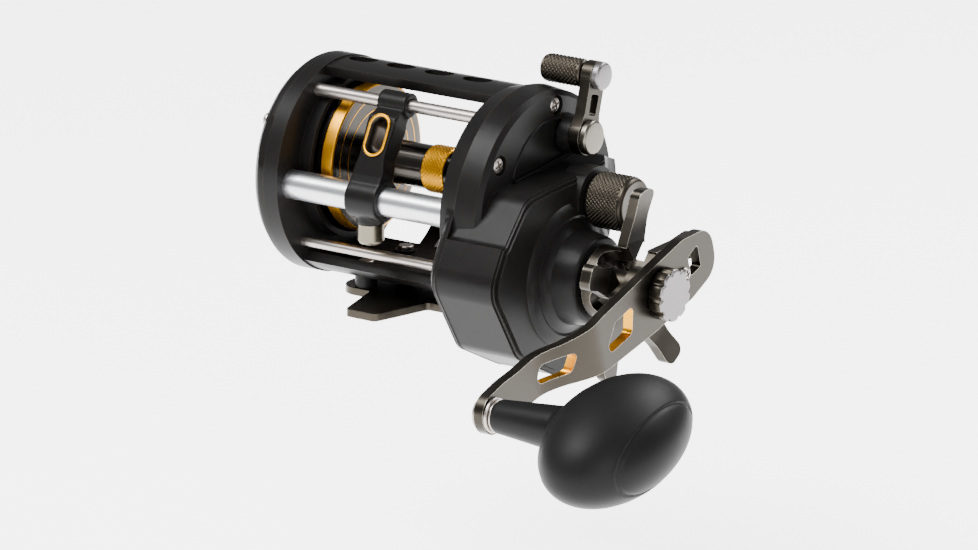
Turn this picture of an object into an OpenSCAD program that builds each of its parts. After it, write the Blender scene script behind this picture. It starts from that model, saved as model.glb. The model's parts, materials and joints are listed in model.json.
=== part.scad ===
// Left-hand level-wind trolling reel, millimetres.
// +X runs along the spool axis towards the handle, -Y is the front where the
// line leaves, +Z is up.  The origin is the centre of the reel foot's seat.

/* [Frame] */
// Outer radius of the tail-side ring
tail_ring_r = 33.1; // [32.9:0.1:33.4]
// Outer radius of the gear-side ring at the frame's edge
gear_ring_r = 34.4; // [34.2:0.1:34.6]
// Outer radius of the gear-side ring at the housing seam
seam_r = 35.8; // [35.6:0.1:36]
// Height of the rings' centre above the seat
ring_z = 36; // [35.9:0.1:36.1]
// Thickness of the cross bars
bar_t = 3.2; // [2.8:0.1:3.6]
// Length of a thumb-bar window
bar_hole_l = 9.4; // [8:0.2:10]

/* [Spool] */
// Outer radius of the spool flanges
flange_r = 22.6; // [22:0.1:22.8]
// Radius of the spool arbor
arbor_r = 6.7; // [6:0.1:7.5]
// Width between the spool flanges
line_w = 48.7; // [48:0.1:49]
// Radius of the spool shaft
shaft_r = 2; // [1.9:0.05:2]

/* [Level wind] */
// Radius of the upper guide rod
guide_rod_r = 1.9; // [1.7:0.1:2]
// Radius of the lower cross rod
lower_rod_r = 1.55; // [1.4:0.05:1.7]
// Outer radius of the worm shield tube
shield_r = 4.4; // [4.3:0.1:4.5]
// Rest position of the carriage along X
carriage_x = -1; // [-3:0.5:3]

/* [Gears] */
// Gear tooth module
tooth_m = 0.75; // [0.75:0.01:0.75]
// Main gear teeth
main_teeth = 54; // [54:1:54]
// Pinion teeth
pinion_teeth = 10; // [10:1:10]
// Teeth on the level-wind drive gear
drive_teeth = 46; // [46:1:46]

/* [Handle] */
// Distance from the handle axis to the knob post
handle_l = 75; // [72:1:78]
// Angle of the blade above the horizontal at rest
handle_a = 15.8; // [0:0.1:30]
// Thickness of the handle blade
blade_t = 3.2; // [2.8:0.1:3.4]
// Half length of the knob across its stem
knob_a = 27.5; // [26:0.5:30]
// Half height of the knob
knob_b = 15.3; // [14:0.1:17]
// Half length of the knob along its stem
knob_c = 19; // [17:0.5:20]

/* [Controls] */
// Radius from the star's centre to the tip of an arm
star_r = 30; // [28:0.5:30]
// Length of the free-spool lever between centres
lever_l = 18.3; // [17.5:0.1:18.5]
// Lean of the free-spool lever towards the rear
lever_a = 16; // [15:0.5:18]
// Radius of the spool tension cap
cap_r = 8.4; // [8:0.1:8.6]

/* [Foot] */
// Overall length of the reel foot
foot_l = 66; // [64:1:70]
// Thickness of the reel foot
foot_t = 2.4; // [2.2:0.1:2.6]

/* [Hidden] */
$fn = 64;

fit_gap = 0.05;      // radial clearance of a shaft in its hole
clear = 0.3;         // gap between neighbours that aren't a fit

// Places along X
tail_x = -37.7;      // outer edge of the tail plate's rim
tail_seam_x = -35.6; // seam between the tail plate and the frame
left_wall_x = -30.5; // inner face of the tail-side wall
right_ring_x = 31;   // inner face of the gear-side ring
seam_x = 37;         // seam between the frame and the gear housing
upper_face_x = 45;   // outer face of the housing's upper part
lever_x0 = 49.8;     // inner face of the free-spool lever
face_x = 58;         // outer face of the gear box
collar_x = 69.3;     // end of the collar round the gear sleeve
star_x = 70.2;       // inner end of the star wheel
blade_x = 91.1;      // outer face of the handle blade at the nut
knob_base_x = 82.4;  // outer face of the handle blade at the knob
knob_x = 124.4;      // centre of the knob

// Axes, as [y, z]
ring_c = [0, ring_z];
gear_ring_c = [-1.2, ring_z - 1.6];
spool_c = [3.5, 38.5];
gear_dist = tooth_m * (main_teeth + pinion_teeth) / 2;
main_c = spool_c + gear_dist * [cos(240), sin(240)];
worm_teeth = 66 - drive_teeth;
worm_dist = tooth_m * (drive_teeth + worm_teeth) / 2;
worm_c = main_c + worm_dist * [cos(135), sin(135)];
upper_rod_c = [-12.4, 61.4];
lower_rod_c = [-20, 16.3];
lever_c = [8.3, 55.1];
blade_dir = [cos(handle_a), sin(handle_a)];
knob_c2 = main_c - handle_l * blade_dir;

// Spool stations along X
flange_t = 2;
line_x0 = -20.5;
line_x1 = line_x0 + line_w;
rim_x0 = -29.5;
rim_x1 = 36;

// Carriage direction from the worm to the upper rod
lean = upper_rod_c - worm_c;
lean_l = norm(lean);
lean_a = atan2(lean[1], lean[0]);

// ---------------------------------------------------------------- helpers

// A cylinder or cone along X between two stations.
module rod_x(x0, x1, c, r, r2 = -1) {
  translate([x0, c[0], c[1]]) rotate([0, 90, 0])
    cylinder(h = x1 - x0, r1 = r, r2 = r2 < 0 ? r : r2);
}

// A tube along X.
module tube_x(x0, x1, c, ro, ri) {
  difference() {
    rod_x(x0, x1, c, ro);
    rod_x(x0 - 1, x1 + 1, c, ri);
  }
}

// Extrudes a shape drawn in the YZ plane along X.
module slab_x(x0, x1) {
  translate([x0, 0, 0]) rotate([90, 0, 90]) linear_extrude(height = x1 - x0) children();
}

// Turns a profile of [radius, x] points about an axis along X.
module turned_x(c, points) {
  translate([0, c[0], c[1]]) rotate([0, 90, 0]) rotate_extrude() polygon(points);
}

// Puts children at a radius and angle from a centre, angle from the top to the rear.
module on_circle(c, r, angle) {
  translate([0, c[0] + r * sin(angle), c[1] + r * cos(angle)]) children();
}

// Direction in the YZ plane at an angle from the top towards the rear.
function towards(a) = [sin(a), cos(a)];

// A curved bar along X, between two angles round the rings' centre.
module arc_bar(x0, x1, a0, a1) {
  ro = tail_ring_r - 0.5;
  far = 2 * ro;
  intersection() {
    tube_x(x0, x1, ring_c, ro, ro - bar_t);
    slab_x(x0 - 1, x1 + 1) translate(ring_c)
      polygon([[0, 0], far * towards(a0), far * towards((a0 + a1) / 2), far * towards(a1)]);
  }
}

// Rounds one corner of a polygon with an arc of radius r.
function unit(v) = v / norm(v);
function corner(p, q, s, r) =
  let (u = unit(p - q), v = unit(s - q), half = acos(u * v) / 2,
       reach = r / tan(half), a = q + u * reach, b = q + v * reach,
       m = q + unit(u + v) * r / sin(half), n = 6,
       a0 = atan2(a[1] - m[1], a[0] - m[0]), a1 = atan2(b[1] - m[1], b[0] - m[0]),
       turn = (a1 - a0 + 540) % 360 - 180)
  [for (i = [0:n]) m + r * [cos(a0 + turn * i / n), sin(a0 + turn * i / n)]];
function rounded(points, radii) =
  [for (i = [0:len(points) - 1])
    each corner(points[(i + len(points) - 1) % len(points)], points[i],
                points[(i + 1) % len(points)], radii[i])];

// Outline of a spur gear with involute flanks.
pressure_a = 20;
function inv_deg(a) = tan(a) * 180 / PI - a;
function flank_a(z, rb, r) =
  90 / z * 0.86 + inv_deg(pressure_a) - inv_deg(acos(min(1, rb / r)));
function gear_points(z, m) =
  let (rp = m * z / 2, rb = rp * cos(pressure_a), ra = rp + 0.9 * m, rr = rp - 1.25 * m,
       r0 = max(rb, rr), radii = [rr, r0, (r0 + ra) / 2, ra])
  [for (k = [0:z - 1]) each concat(
    [for (i = [0:3]) let (r = radii[i], a = 360 * k / z - flank_a(z, rb, max(r, r0)))
      r * [cos(a), sin(a)]],
    [for (i = [3:-1:0]) let (r = radii[i], a = 360 * k / z + flank_a(z, rb, max(r, r0)))
      r * [cos(a), sin(a)]])];

// A spur gear on an axis along X with one tooth at the given angle from +Y.
module gear_x(x0, x1, c, z, angle) {
  translate([x0, c[0], c[1]]) rotate([90, 0, 90]) rotate([0, 0, angle])
    linear_extrude(height = x1 - x0) polygon(gear_points(z, tooth_m));
}

// A pan-head screw along X, its head's underside at x.
module screw_x(x, c, r, head_r, head_h, length) {
  drive = head_r * 0.28;
  difference() {
    union() {
      rod_x(x - length, x + 0.01, c, r);
      turned_x(c, [[0, x], [head_r, x], [head_r, x + head_h * 0.4],
        [head_r * 0.8, x + head_h * 0.85], [head_r * 0.35, x + head_h], [0, x + head_h]]);
    }
    for (a = [0, 90]) translate([x + head_h, c[0], c[1]]) rotate([a + 20, 0, 0])
      cube([head_h, drive, head_r * 1.3], center = true);
  }
}

// ------------------------------------------------------------------ frame

housing_corners = [[-31, 50], [-47.9, 20.5], [-33.6, -2.8], [-11.6, -13.8], [16, -9], [31.6, 24],
                   [20, 44]];
housing_radii = [6, 9, 8, 11, 12, 10, 3];

// Outline of the gear side; inset moves the corners towards the middle.
module housing_outline(inset) {
  mid = [-6, 20];
  far = 34;
  polygon(rounded([for (p = housing_corners) mid + (p - mid) * (1 - inset / far)],
                  housing_radii));
}

// The flare from the ring to the housing grows in steps.
module gear_side_plate() {
  flare = 5;           // how much narrower the first step is than the last
  steps = 4;
  depth = (seam_x - right_ring_x) / steps;
  difference() {
    union() {
      rod_x(right_ring_x, seam_x, gear_ring_c, gear_ring_r, seam_r);
      for (i = [0:steps - 1])
        slab_x(right_ring_x + i * depth, seam_x)
          housing_outline(0.6 + flare * (1 - i / (steps - 1)));
    }
    rod_x(right_ring_x - 1, seam_x + 1, spool_c, flange_r + 1.2);
  }
}

bar_holes_x = [for (i = [0:3]) -24.6 + 14 * i];

module top_bar() {
  mid_a = 4.5;
  half_l = bar_hole_l / 2;
  half_w = 3.3;
  difference() {
    arc_bar(left_wall_x - 0.5, right_ring_x + 0.5, -14, 24);
    for (x = bar_holes_x) on_circle(ring_c, tail_ring_r - 6, mid_a)
      translate([x, 0, 0]) rotate([-mid_a, 0, 0]) linear_extrude(height = 12)
        polygon(rounded([[-half_l, -half_w], [half_l, -half_w], [half_l, half_w],
                         [-half_l, half_w]], [3.2, 3.2, 3.2, 3.2]));
  }
}

post_x = [-10, 10];
module bottom_bar() {
  front_a = 218;
  window_a = 151;
  rear_a0 = 132;
  rear_a1 = 119;
  x0 = left_wall_x - 0.5;
  x1 = right_ring_x + 0.5;
  arc_bar(x0, x1, window_a, front_a);
  arc_bar(x0, x1, rear_a1, rear_a0);
  for (x = post_x) arc_bar(x - 2.8, x + 2.8, rear_a0 - 1, window_a + 1);
}

pad_top = 9.3;
foot_head_z = 9;     // seat of the foot screws' heads
foot_head_r = 2.3;
foot_screw_r = 1.5;
foot_screw_x = 15;
foot_screw_y = [-9.6, 10.6];
module foot_pads() {
  for (x = [-1, 1]) for (y = foot_screw_y)
    translate([x * foot_screw_x, y, foot_t + 0.02]) cylinder(r = 3.4, h = pad_top - foot_t);
}

module frame() color("#1b1b1d") {
  lip_x = -26.6;
  difference() {
    union() {
      rod_x(tail_seam_x, left_wall_x, ring_c, tail_ring_r);
      rod_x(left_wall_x - 1, lip_x, spool_c, flange_r + 2.6);
      gear_side_plate();
      top_bar();
      bottom_bar();
      foot_pads();
    }
    rod_x(tail_seam_x - 1, lip_x + 1, spool_c, flange_r + 1);
    rod_x(tail_seam_x + 3, lip_x + 1, upper_rod_c, guide_rod_r + fit_gap);
    rod_x(tail_seam_x + 3, lip_x + 1, lower_rod_c, lower_rod_r + fit_gap);
    rod_x(tail_seam_x - 1, lip_x + 1, worm_c, shield_r + fit_gap);
    rod_x(right_ring_x - 1, seam_x - 2, upper_rod_c, guide_rod_r + fit_gap);
    rod_x(right_ring_x - 1, seam_x - 2, lower_rod_c, lower_rod_r + fit_gap);
    rod_x(right_ring_x - 1, seam_x + 1, worm_c, shield_r + fit_gap);
    for (a = tail_screw_a) on_circle(ring_c, tail_screw_r, a)
      rod_x(tail_seam_x - 1, left_wall_x - 1.5, [0, 0], 1.25 + fit_gap);
    for (c = housing_screw_c) rod_x(right_ring_x + 2, seam_x + 1, c, 1.25 + fit_gap);
    for (c = bridge_screw_c) rod_x(right_ring_x + 3, seam_x + 1, c, 1.25);
    for (x = [-1, 1]) for (y = foot_screw_y) translate([x * foot_screw_x, y, 0]) {
      cylinder(r = foot_screw_r + fit_gap, h = pad_top);
      translate([0, 0, foot_head_z]) cylinder(r = foot_head_r + clear, h = 3);
    }
  }
}

// -------------------------------------------------------------- tail side

tail_screw_r = 29.3;
tail_screw_a = [20, 110, 215, 305];
clicker_c = [14, 25.1];
clicker_travel = 4;

module tail_plate() color("#202022") {
  rim_t = 2.4;
  dome_x = -42;
  hub_x = -44;
  difference() {
    union() {
      turned_x(ring_c, [[0, dome_x], [24, dome_x], [28.5, dome_x + 0.7],
        [31.4, dome_x + 2.2], [32.8, tail_x - 0.4], [tail_ring_r, tail_x + 0.3],
        [tail_ring_r, tail_seam_x - 0.02], [0, tail_seam_x - 0.02]]);
      rod_x(hub_x, dome_x + 1, spool_c, 9.2);
    }
    turned_x(spool_c, [[0, dome_x + rim_t], [flange_r, dome_x + rim_t],
      [flange_r + 1, tail_seam_x + 1], [0, tail_seam_x + 1]]);
    rod_x(hub_x - 1, dome_x + 4, spool_c, 7.6);
    translate([dome_x, 0, 0]) clicker_slot(1.2, 12);
    for (a = tail_screw_a) on_circle(ring_c, tail_screw_r, a) {
      rod_x(dome_x - 3, tail_seam_x + 1, [0, 0], 1.25 + fit_gap);
      rod_x(dome_x - 3, dome_x + 2.6, [0, 0], 2.9);
    }
    notch_a = 292;
    on_circle(ring_c, tail_ring_r + 0.3, notch_a) rotate([-notch_a, 0, 0])
      translate([tail_x - 4, -8, -1]) cube([8, 16, 3]);
  }
}

// Slot in which the clicker button slides towards the spool axis.
clicker_dir = unit(spool_c - clicker_c);
module clicker_slot(r, depth) {
  for (s = [0:0.25:1]) let (c = clicker_c + clicker_dir * clicker_travel * s)
    rod_x(-depth / 2, depth / 2, c, r + clear);
  slab_x(-depth / 2, depth / 2) translate(clicker_c)
    rotate(atan2(clicker_dir[1], clicker_dir[0]))
      translate([0, -r - clear]) square([clicker_travel, 2 * (r + clear)]);
}

module tail_plate_screws() color("silver") {
  for (a = tail_screw_a) on_circle(ring_c, tail_screw_r, a)
    mirror([1, 0, 0]) screw_x(39.4, [0, 0], 1.25, 2.6, 1.7, 6.6);
}

module tail_bearing_cap() color("#3c3a37") {
  difference() {
    union() {
      rod_x(-44.6, -39.6, spool_c, 7.5);
      rod_x(-45.8, -44.5, spool_c, 8.6, 8.6);
    }
    rod_x(-42.4, -38, spool_c, 5.05);
    rod_x(-43.2, -42, spool_c, 3.2);
    for (a = [0, 60, 120]) translate([-45.8, spool_c[0], spool_c[1]]) rotate([a, 0, 0])
      cube([1, 1.2, 12], center = true);
  }
}

module clicker_button() color("#8d8a84") {
  difference() {
    turned_x(clicker_c, [[0, -46.2], [2.2, -46.2], [3.2, -45.6], [3.4, -42.3],
      [1.2, -42.3], [1.2, -38.2], [0, -38.2]]);
    for (i = [-1:1]) translate([-46.2, clicker_c[0], clicker_c[1] + i * 1.5])
      cube([0.9, 8, 0.6], center = true);
  }
}

// Tongue that the button carries to the ratchet on the spool.
module clicker_pawl() color("#b9b4aa") {
  a = atan2(clicker_dir[1], clicker_dir[0]);
  reach = norm(spool_c - clicker_c) - clicker_travel - ratchet_tip_r - clear;
  slab_x(-38.2, -36.6) translate(clicker_c) rotate(a)
    polygon([[-3, -2.4], [4, -2.4], [reach - 3, -1.6], [reach, -0.3], [reach, 0.3],
             [reach - 3, 1.6], [4, 2.4], [-3, 2.4]]);
}

module clicker_spring() color("silver") {
  a = atan2(clicker_dir[1], clicker_dir[0]);
  slab_x(-39.2, -38.6) translate(clicker_c) rotate(a)
    for (side = [-1, 1]) translate([-3, side * 3.9 - 0.3]) square([11, 0.6]);
}

ratchet_tip_r = 6.4;
module clicker_ratchet() color("#c9a24a") {
  teeth = 12;
  tooth = [for (k = [0:teeth - 1]) each
    [5 * [cos(360 * k / teeth - 10), sin(360 * k / teeth - 10)],
     ratchet_tip_r * [cos(360 * k / teeth), sin(360 * k / teeth)],
     5 * [cos(360 * k / teeth + 10), sin(360 * k / teeth + 10)]]];
  difference() {
    slab_x(-38.4, -36.4) translate(spool_c) polygon(tooth);
    rod_x(-40, -35, spool_c, shaft_r + 0.02);
  }
}

// ------------------------------------------------------------ gear housing

housing_screw_c = [[3.9, 64.4], [-24.8, 52.2], [28.7, 33.5], [20.4, 15.4]];
head_seat_x = upper_face_x - 2.2; // floor of the pockets for the screw heads
head_pocket_r = 3.1;
wall = 2;

// Ridge line above which the housing steps down to the upper face.
module box_outline(inset) {
  intersection() {
    union() {
      housing_outline(inset);
      translate(gear_ring_c) circle(r = seam_r - 0.4 - inset);
    }
    polygon(rounded([[-60, 33 - inset], [-39, 33 - inset], [-28, 45.6 - inset],
                     [-16, 46.4 - inset], [8, 47.2 - inset],
                     [15, 49 - inset], [40, 40 - inset], [60, 20], [60, -40], [-60, -40]],
                    [1, 3, 8, 10, 4, 4, 4, 1, 1, 1]));
  }
}

module gear_housing() color("#1d1d1f") {
  chamfer = 1.6;
  dome_r = 21.5;
  difference() {
    union() {
      rod_x(seam_x + 0.02, upper_face_x - 1.2, gear_ring_c, seam_r, seam_r - 0.8);
      rod_x(upper_face_x - 1.21, upper_face_x, gear_ring_c, seam_r - 0.8, seam_r - 2.4);
      difference() {
        union() {
          slab_x(seam_x + 0.02, face_x - chamfer) box_outline(0.6);
          slab_x(face_x - chamfer - 0.01, face_x - chamfer / 2) box_outline(1.1);
          slab_x(face_x - chamfer / 2 - 0.01, face_x) box_outline(2.2);
        }
        rear_cut(0);
      }
      turned_x(main_c, [[0, face_x - 3], [dome_r, face_x - 3], [dome_r, face_x + 0.2],
        [dome_r - 1.2, face_x + 1.3], [18, face_x + 2.1], [17.2, face_x + 1.7],
        [15.4, face_x + 2.6], [14.4, face_x + 3.6], [13.2, collar_x - 0.9],
        [12.6, collar_x - 0.2], [12, collar_x], [0, collar_x]]);
      rod_x(face_x - 6, face_x + 1.8, spool_c, 9.6);
      rod_x(face_x - 1, face_x + 9, spool_c, 6.6);
      rod_x(upper_face_x - 2, lever_x0 - clear, lever_c, 6.4, 5.4);
    }
    difference() {
      housing_cavity();
      screw_posts();
    }
    housing_bores();
    upper_trim();
  }
}

// What the box lacks at the rear, outside a cone about the handle axis and a slope
// behind the tension cap; inset moves both inwards for the cavity.
module rear_cut(inset) {
  x0 = 46 - inset;
  x1 = face_x + 1;
  cone_r = [34.6, 19.4];
  cut_area = [[8, 60], [8, 27], [9, 17], [4, 4], [-8, 1], [-8, -30], [50, -30], [50, 60]];
  slope = [[x0 - 1, 0], [x1 + 1, 0], [x1 + 1, 8], [50, 20.5], [x0 - 1, 31.6]];
  slope_z = 26;
  difference() {
    slab_x(x0, x1) translate([-inset, 0]) polygon(cut_area);
    rod_x(x0 - 0.5, x1 + 0.5, main_c, cone_r[0] - inset, cone_r[1] - inset);
    translate([0, -inset, slope_z + inset]) linear_extrude(height = 40) polygon(slope);
  }
}

module housing_cavity() {
  slab_x(seam_x - 1, upper_face_x - wall) translate(gear_ring_c) circle(r = seam_r - 3.2);
  difference() {
    slab_x(seam_x - 1, face_x - wall) box_outline(0.6 + wall + 0.4);
    rear_cut(wall + 0.6);
  }
}

// Posts that carry the screws' heads through the cavity.
module screw_posts() {
  for (c = housing_screw_c)
    rod_x(bridge_x + bridge_t + clear, face_x + 1, c, head_pocket_r + 0.9);
}

module housing_bores() {
  rod_x(face_x - 4, face_x + 3, main_c, 7.2);
  rod_x(face_x + 0.4, collar_x + 1, main_c, 9.5);
  rod_x(face_x - 4, face_x + 10, spool_c, 3.2);
  rod_x(face_x + 2.6, face_x + 10, spool_c, 5.05);
  rod_x(upper_face_x - 4, lever_x0 + 1, lever_c, 2.5 + fit_gap);
  rod_x(seam_x - 1, drive_x + 2.4, worm_c, tooth_m * (worm_teeth / 2 + 0.9) + 0.4);
  for (c = housing_screw_c) {
    rod_x(seam_x - 1, head_seat_x + 0.5, c, 1.25 + fit_gap);
    rod_x(head_seat_x, face_x + 1, c, head_pocket_r);
  }
}

// Recessed panel on the upper face.
module upper_trim() {
  panel_c = [1.1, 39.9];
  panel_r = 20.8;
  panel_depth = 0.9;
  slab_x(upper_face_x - panel_depth, upper_face_x + 1) intersection() {
    translate(panel_c) circle(r = panel_r);
    polygon(rounded([[-20, 44.3], [9, 48.2], [9, 64], [-20, 64]], [0.8, 2, 2, 2]));
  }
}

module housing_screws() color("silver") {
  for (c = housing_screw_c) screw_x(head_seat_x + 0.02, c, 1.25, 2.7, 1.9, 8.6);
}

// ------------------------------------------------------------- gear train

sleeve_r = 4.6;
bridge_x = 37.3;
bridge_t = 1.8;
drive_x = 40.2;
ratchet_x = 42.6;
main_x = 46.2;
main_t = 6;

module bridge_plate() color("#a9a7a3") {
  for (c = yoke_pins) rod_x(bridge_x + 1, 50.2, c, yoke_pin_r);
  difference() {
    slab_x(bridge_x, bridge_x + bridge_t)
      polygon(rounded([[-31, 41], [-37, 24], [-31, 5], [-5, -8], [12, -3], [27.4, 20], [17, 57.5],
                       [-7, 60]], [5, 6, 8, 6, 8, 5, 5, 5]));
    rod_x(bridge_x - 1, bridge_x + bridge_t + 1, spool_c, 5.8);
    rod_x(bridge_x - 1, bridge_x + bridge_t + 1, main_c, sleeve_r - 0.6 + fit_gap);
    rod_x(bridge_x - 1, bridge_x + bridge_t + 1, worm_c, 3.6);
    rod_x(bridge_x - 1, bridge_x + bridge_t + 1, lever_c, 2.5 + fit_gap);
    for (c = bridge_screw_c) rod_x(bridge_x - 1, bridge_x + bridge_t + 1, c, 1.25);
    for (c = housing_screw_c) rod_x(bridge_x - 1, bridge_x + bridge_t + 1, c, 1.25 + clear);
    for (c = dog_pins) rod_x(bridge_x - 1, bridge_x + bridge_t + 1, c, 1 + fit_gap);
  }
}

bridge_screw_c = [[-31, 17], [-5, -3], [23.6, 22.7]];
dog_c = main_c + 19.6 * [cos(-25), sin(-25)];
dog_pins = [dog_c];
module bridge_screws() color("silver") {
  for (c = bridge_screw_c) screw_x(bridge_x + bridge_t + 0.02, c, 1.2, 2.1, 1.1, 4.6);
}

module main_gear() color("#c89a3a") {
  rim_r = tooth_m * main_teeth / 2 - 2.6;
  difference() {
    gear_x(main_x, main_x + main_t, main_c, main_teeth, 60 + 180 / main_teeth);
    rod_x(main_x + 1.2, main_x + main_t + 1, main_c, rim_r);
    rod_x(main_x - 1, main_x + 2, main_c, sleeve_r + 0.3);
  }
}

stack_x = main_x + 1.25;
stack_t = 0.75;
module carbon_drag_washers() color("#2a2a2c") {
  for (i = [0, 2, 4]) tube_x(stack_x + i * stack_t, stack_x + (i + 1) * stack_t - 0.05,
    main_c, 16.4, 7);
}
module steel_drag_washers() color("#b7b7b9") {
  for (i = [1, 3, 5]) tube_x(stack_x + i * stack_t, stack_x + (i + 1) * stack_t - 0.05,
    main_c, 16.8, 6.2);
}

module gear_sleeve() color("#cfcfd2") {
  difference() {
    union() {
      rod_x(bridge_x - 0.2, drive_x, main_c, sleeve_r - 0.6);
      rod_x(drive_x - 0.4, drive_x, main_c, 6);
      rod_x(drive_x - 0.01, stack_x + 6.2, main_c, sleeve_r);
      rod_x(stack_x + 6.19, blade_x - blade_t - 0.02, main_c, sleeve_r - 0.2);
      rod_x(star_rim_x, blade_x - blade_t - 0.02, main_c, 6.4);
      intersection() {
        rod_x(blade_x - blade_t - 0.03, blade_x + 0.3, main_c, sleeve_r - 0.2);
        translate([0, main_c[0] - 3, main_c[1] - 6]) cube([120, 6, 12]);
      }
      rod_x(blade_x + 0.29, blade_x + 3.8, main_c, 2.9);
    }
    rod_x(bridge_x - 1, bridge_x + 24, main_c, 1.6);
  }
}

module anti_reverse_ratchet() color("#8f8f92") {
  teeth = 8;
  pts = [for (k = [0:teeth - 1]) each
    [9.6 * [cos(360 * k / teeth), sin(360 * k / teeth)],
     12 * [cos(360 * k / teeth + 26), sin(360 * k / teeth + 26)],
     10.6 * [cos(360 * k / teeth + 34), sin(360 * k / teeth + 34)]]];
  difference() {
    slab_x(ratchet_x + 0.02, ratchet_x + 2) translate(main_c) polygon(pts);
    rod_x(ratchet_x - 1, ratchet_x + 3, main_c, sleeve_r + 0.02);
  }
}

module anti_reverse_dog() color("#9b9b9f") {
  tip = main_c + 12.5 * [cos(-2), sin(-2)];
  tail = dog_c + [5, -6];
  difference() {
    union() {
      rod_x(ratchet_x, ratchet_x + 1.8, dog_c, 2.4);
      slab_x(ratchet_x, ratchet_x + 1.8) polygon([tip, tip + [0.8, 1.2], dog_c + [2.2, 1],
        tail + [1, 0.4], tail, dog_c + [-2.1, -1]]);
    }
    rod_x(ratchet_x - 1, ratchet_x + 3, dog_c, 1.06);
  }
  rod_x(bridge_x, ratchet_x + 2.4, dog_c, 1);
}

module dog_spring() color("silver") {
  c = dog_c + [7.2, -0.5];
  tube_x(ratchet_x - 0.2, ratchet_x + 1.4, c, 1.5, 0.9);
}

module levelwind_drive_gear() color("#e8e6df") {
  difference() {
    gear_x(drive_x, drive_x + 2, main_c, drive_teeth, 135 + 180 / drive_teeth);
    rod_x(drive_x - 1, drive_x + 3, main_c, sleeve_r + 0.02);
    for (k = [0:4]) let (c = main_c + 10 * [cos(72 * k), sin(72 * k)])
      rod_x(drive_x - 1, drive_x + 3, c, 2.6);
  }
}

module worm_gear() color("#e8e6df") {
  difference() {
    gear_x(drive_x, drive_x + 2, worm_c, worm_teeth, 315);
    rod_x(drive_x - 1, drive_x + 3, worm_c, 2.02);
  }
}

module roller_clutch() color("#77777b") {
  rollers = 8;
  tube_x(face_x + 1, face_x + 9, main_c, 9.4, 7.6);
  for (k = [0:rollers - 1])
    let (c = main_c + 6.2 * [cos(360 * k / rollers), sin(360 * k / rollers)])
      rod_x(face_x + 2, face_x + 8, c, 1.1);
}

// --------------------------------------------------------- clutch and pinion

pinion_x = 40.9;
neck_r = 3.2;
yoke_x = 42.9;
yoke_t = 1.4;
module pinion_gear() color("#b9b9bd") {
  hub_r = 5;
  difference() {
    union() {
      rod_x(pinion_x, yoke_x - 0.2, spool_c, hub_r);
      rod_x(yoke_x - 0.21, yoke_x + yoke_t + 0.2, spool_c, neck_r);
      gear_x(yoke_x + yoke_t + 0.19, 53.6, spool_c, pinion_teeth, 240);
    }
    rod_x(pinion_x - 1, 56, spool_c, shaft_r + 0.06);
    translate([pinion_x - 0.1, spool_c[0], spool_c[1]]) cube([3.6, 2, 12], center = true);
  }
}

yoke_pins = [spool_c + [-9.6, 2], spool_c + [9.6, 2]];
yoke_pin_r = 1;
module clutch_yoke() color("#6e6e73") {
  difference() {
    slab_x(yoke_x, yoke_x + yoke_t) difference() {
      polygon(rounded([spool_c + [-12.4, -2.6], spool_c + [12.4, -2.6],
                       spool_c + [12.4, 4.4], spool_c + [-12.4, 4.4]], [2, 2, 3, 3]));
      translate(spool_c) circle(r = neck_r + clear);
      translate(spool_c + [-neck_r - clear, -8]) square([2 * (neck_r + clear), 8]);
    }
    for (c = yoke_pins) rod_x(40, 46, c, yoke_pin_r + fit_gap);
  }
}

module yoke_springs() color("silver") {
  for (c = yoke_pins) tube_x(46.9, 49.8, c, 1.8, 1.2);
}

module clutch_cam() color("#8a8a8e") {
  rod_x(bridge_x + bridge_t + 0.3, 41.4, lever_c, 4.6);
  rod_x(bridge_x - 0.1, lever_x0 + 0.3, lever_c, 2.5);
  translate([bridge_x + bridge_t + 0.3, 0, 0])
    slab_x(0, 2) translate(lever_c) rotate(lever_a + 180)
      polygon([[-4.4, -1], [4.4, -1], [3, 10.5], [-3, 10.5]]);
}

lever_dir = [sin(lever_a), cos(lever_a)];
lever_top_c = lever_c + lever_l * lever_dir;
lever_t = 3.6;       // thickness of the free-spool lever

module freespool_lever() color("#5d5850") {
  difference() {
    union() {
      rod_x(lever_x0, lever_x0 + lever_t, lever_c, 5.6);
      rod_x(lever_x0, lever_x0 + lever_t, lever_top_c, 4.3);
      slab_x(lever_x0, lever_x0 + lever_t) translate(lever_c) rotate(-lever_a)
        polygon([[-5, 2.4], [5, 2.4], [3.9, 6.6], [3.9, lever_l], [-3.9, lever_l],
                 [-3.9, 6.6]]);
    }
    slab_x(lever_x0 - 1, lever_x0 + lever_t + 1) translate(lever_c) rotate(-lever_a)
      polygon(rounded([[-1.7, 6.4], [1.7, 6.4], [1.9, 12.6], [-1.9, 12.6]],
                      [0.8, 0.8, 0.8, 0.8]));
    rod_x(lever_x0 - 1, lever_x0 + lever_t + 1, lever_top_c, 1.6);
    rod_x(lever_x0 - 1, lever_x0 + 0.32, lever_c, 2.55);
    rod_x(lever_x0 - 1, lever_x0 + lever_t + 1, lever_c, 1.3);
  }
}

module lever_knob() color("#3c382f") {
  knob_end = 34.6;
  difference() {
    turned_x(lever_top_c, [[0, knob_end], [3.7, knob_end], [4.3, knob_end + 0.6],
      [4.3, lever_x0 - 0.6], [3.7, lever_x0 - 0.02], [0, lever_x0 - 0.02]]);
    rod_x(38, lever_x0 + 1, lever_top_c, 1.52);
  }
}

module lever_end_cap() color("silver") {
  x = lever_x0 + lever_t + 0.02;
  turned_x(lever_top_c, [[0, 38.4], [1.5, 38.4], [1.5, x], [4.2, x], [4.2, x + 1.8],
    [3.7, x + 2.3], [2, x + 2.5], [0, x + 2.55]]);
}

module lever_pivot_screw() color("#6b665d") {
  x = lever_x0 + lever_t + 0.02;
  turned_x(lever_c, [[0, lever_x0 + 0.34], [1.2, lever_x0 + 0.34], [1.2, x], [5.2, x],
    [5.2, x + 1.7], [4.7, x + 2.2], [2.8, x + 2.4], [0, x + 2.45]]);
}

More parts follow.
